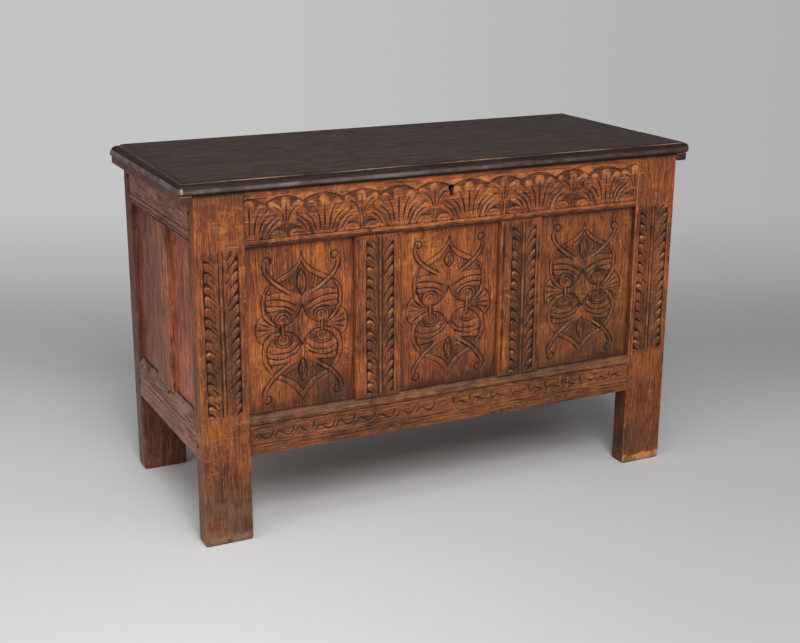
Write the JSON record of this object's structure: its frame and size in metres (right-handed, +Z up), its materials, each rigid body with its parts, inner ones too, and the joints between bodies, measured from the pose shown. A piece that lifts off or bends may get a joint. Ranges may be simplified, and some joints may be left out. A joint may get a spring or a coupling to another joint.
{
  "type": "coffer chest",
  "caption": "Joined oak coffer with a hinged plank lid, carved front panels, stiles and top rail, plain panelled ends, a boarded floor, iron strap hinges and a lock.",
  "frame": {"origin": "on the floor, at the middle of the chest's bounding box", "axes": "+Z up, +X along the length, to the right for a person who faces the carved front, +Y from the front to the back"},
  "size_m": [1.22, 0.5282, 0.7763],
  "materials": {
    "oak_front": "waxed, carved, with dark recesses",
    "oak_sides": "waxed, smooth",
    "oak_lid": "dark, satin",
    "oak_floor": "bare, dry",
    "oak_pegs": "waxed",
    "wrought_iron": "hammered, dark",
    "lock_iron": "filed, dull"
  },
  "bodies": {
    "carcase": {"bolt_guides": "lock_iron", "bolt_spring": "lock_iron", "floor_board_1": "oak_floor", "floor_board_2": "oak_floor", "floor_board_3": "oak_floor", "floor_board_4": "oak_floor", "floor_board_5": "oak_floor", "floor_nails": "wrought_iron", "front_bottom_rail": "oak_front", "front_centre_panel": "oak_front", "front_left_muntin": "oak_front", "front_left_panel": "oak_front", "front_left_stile": "oak_front", "front_pegs": "oak_pegs", "front_right_muntin": "oak_front", "front_right_panel": "oak_front", "front_right_stile": "oak_front", "front_top_rail": "oak_front", "key_post": "lock_iron", "leaf_nails": "wrought_iron", "left_hinge_leaf": "wrought_iron", "left_hinge_pin": "wrought_iron", "left_pegs": "oak_pegs", "left_side_bottom_rail": "oak_sides", "left_side_front_panel": "oak_sides", "left_side_muntin": "oak_sides", "left_side_rear_panel": "oak_sides", "left_side_top_rail": "oak_sides", "lock_case": "lock_iron", "lock_nails": "wrought_iron", "lock_plate": "lock_iron", "rear_bottom_rail": "oak_sides", "rear_centre_panel": "oak_sides", "rear_left_muntin": "oak_sides", "rear_left_panel": "oak_sides", "rear_left_stile": "oak_sides", "rear_pegs": "oak_pegs", "rear_right_muntin": "oak_sides", "rear_right_panel": "oak_sides", "rear_right_stile": "oak_sides", "rear_top_rail": "oak_sides", "right_hinge_leaf": "wrought_iron", "right_hinge_pin": "wrought_iron", "right_pegs": "oak_pegs", "right_side_bottom_rail": "oak_sides", "right_side_front_panel": "oak_sides", "right_side_muntin": "oak_sides", "right_side_rear_panel": "oak_sides", "right_side_top_rail": "oak_sides"},
    "lid": {"lid_board": "oak_lid", "left_lid_cleat": "oak_lid", "right_lid_cleat": "oak_lid", "cleat_nails": "wrought_iron", "left_hinge_strap": "wrought_iron", "right_hinge_strap": "wrought_iron", "strap_nails": "wrought_iron", "lid_staple": "wrought_iron", "staple_nails": "wrought_iron"},
    "lock_bolt": {"lock_bolt": "lock_iron"}
  },
  "joints": [
    {"name": "lid_hinge", "type": "hinge", "parent": "carcase", "child": "lid", "pos_m": [0, 0.25915, 0.7473], "axis": [-1, 0, 0], "range_deg": [0, 100]},
    {"name": "bolt_slide", "type": "slide", "parent": "carcase", "child": "lock_bolt", "axis": [1, 0, 0], "range_m": [0, 0.014]}
  ]
}
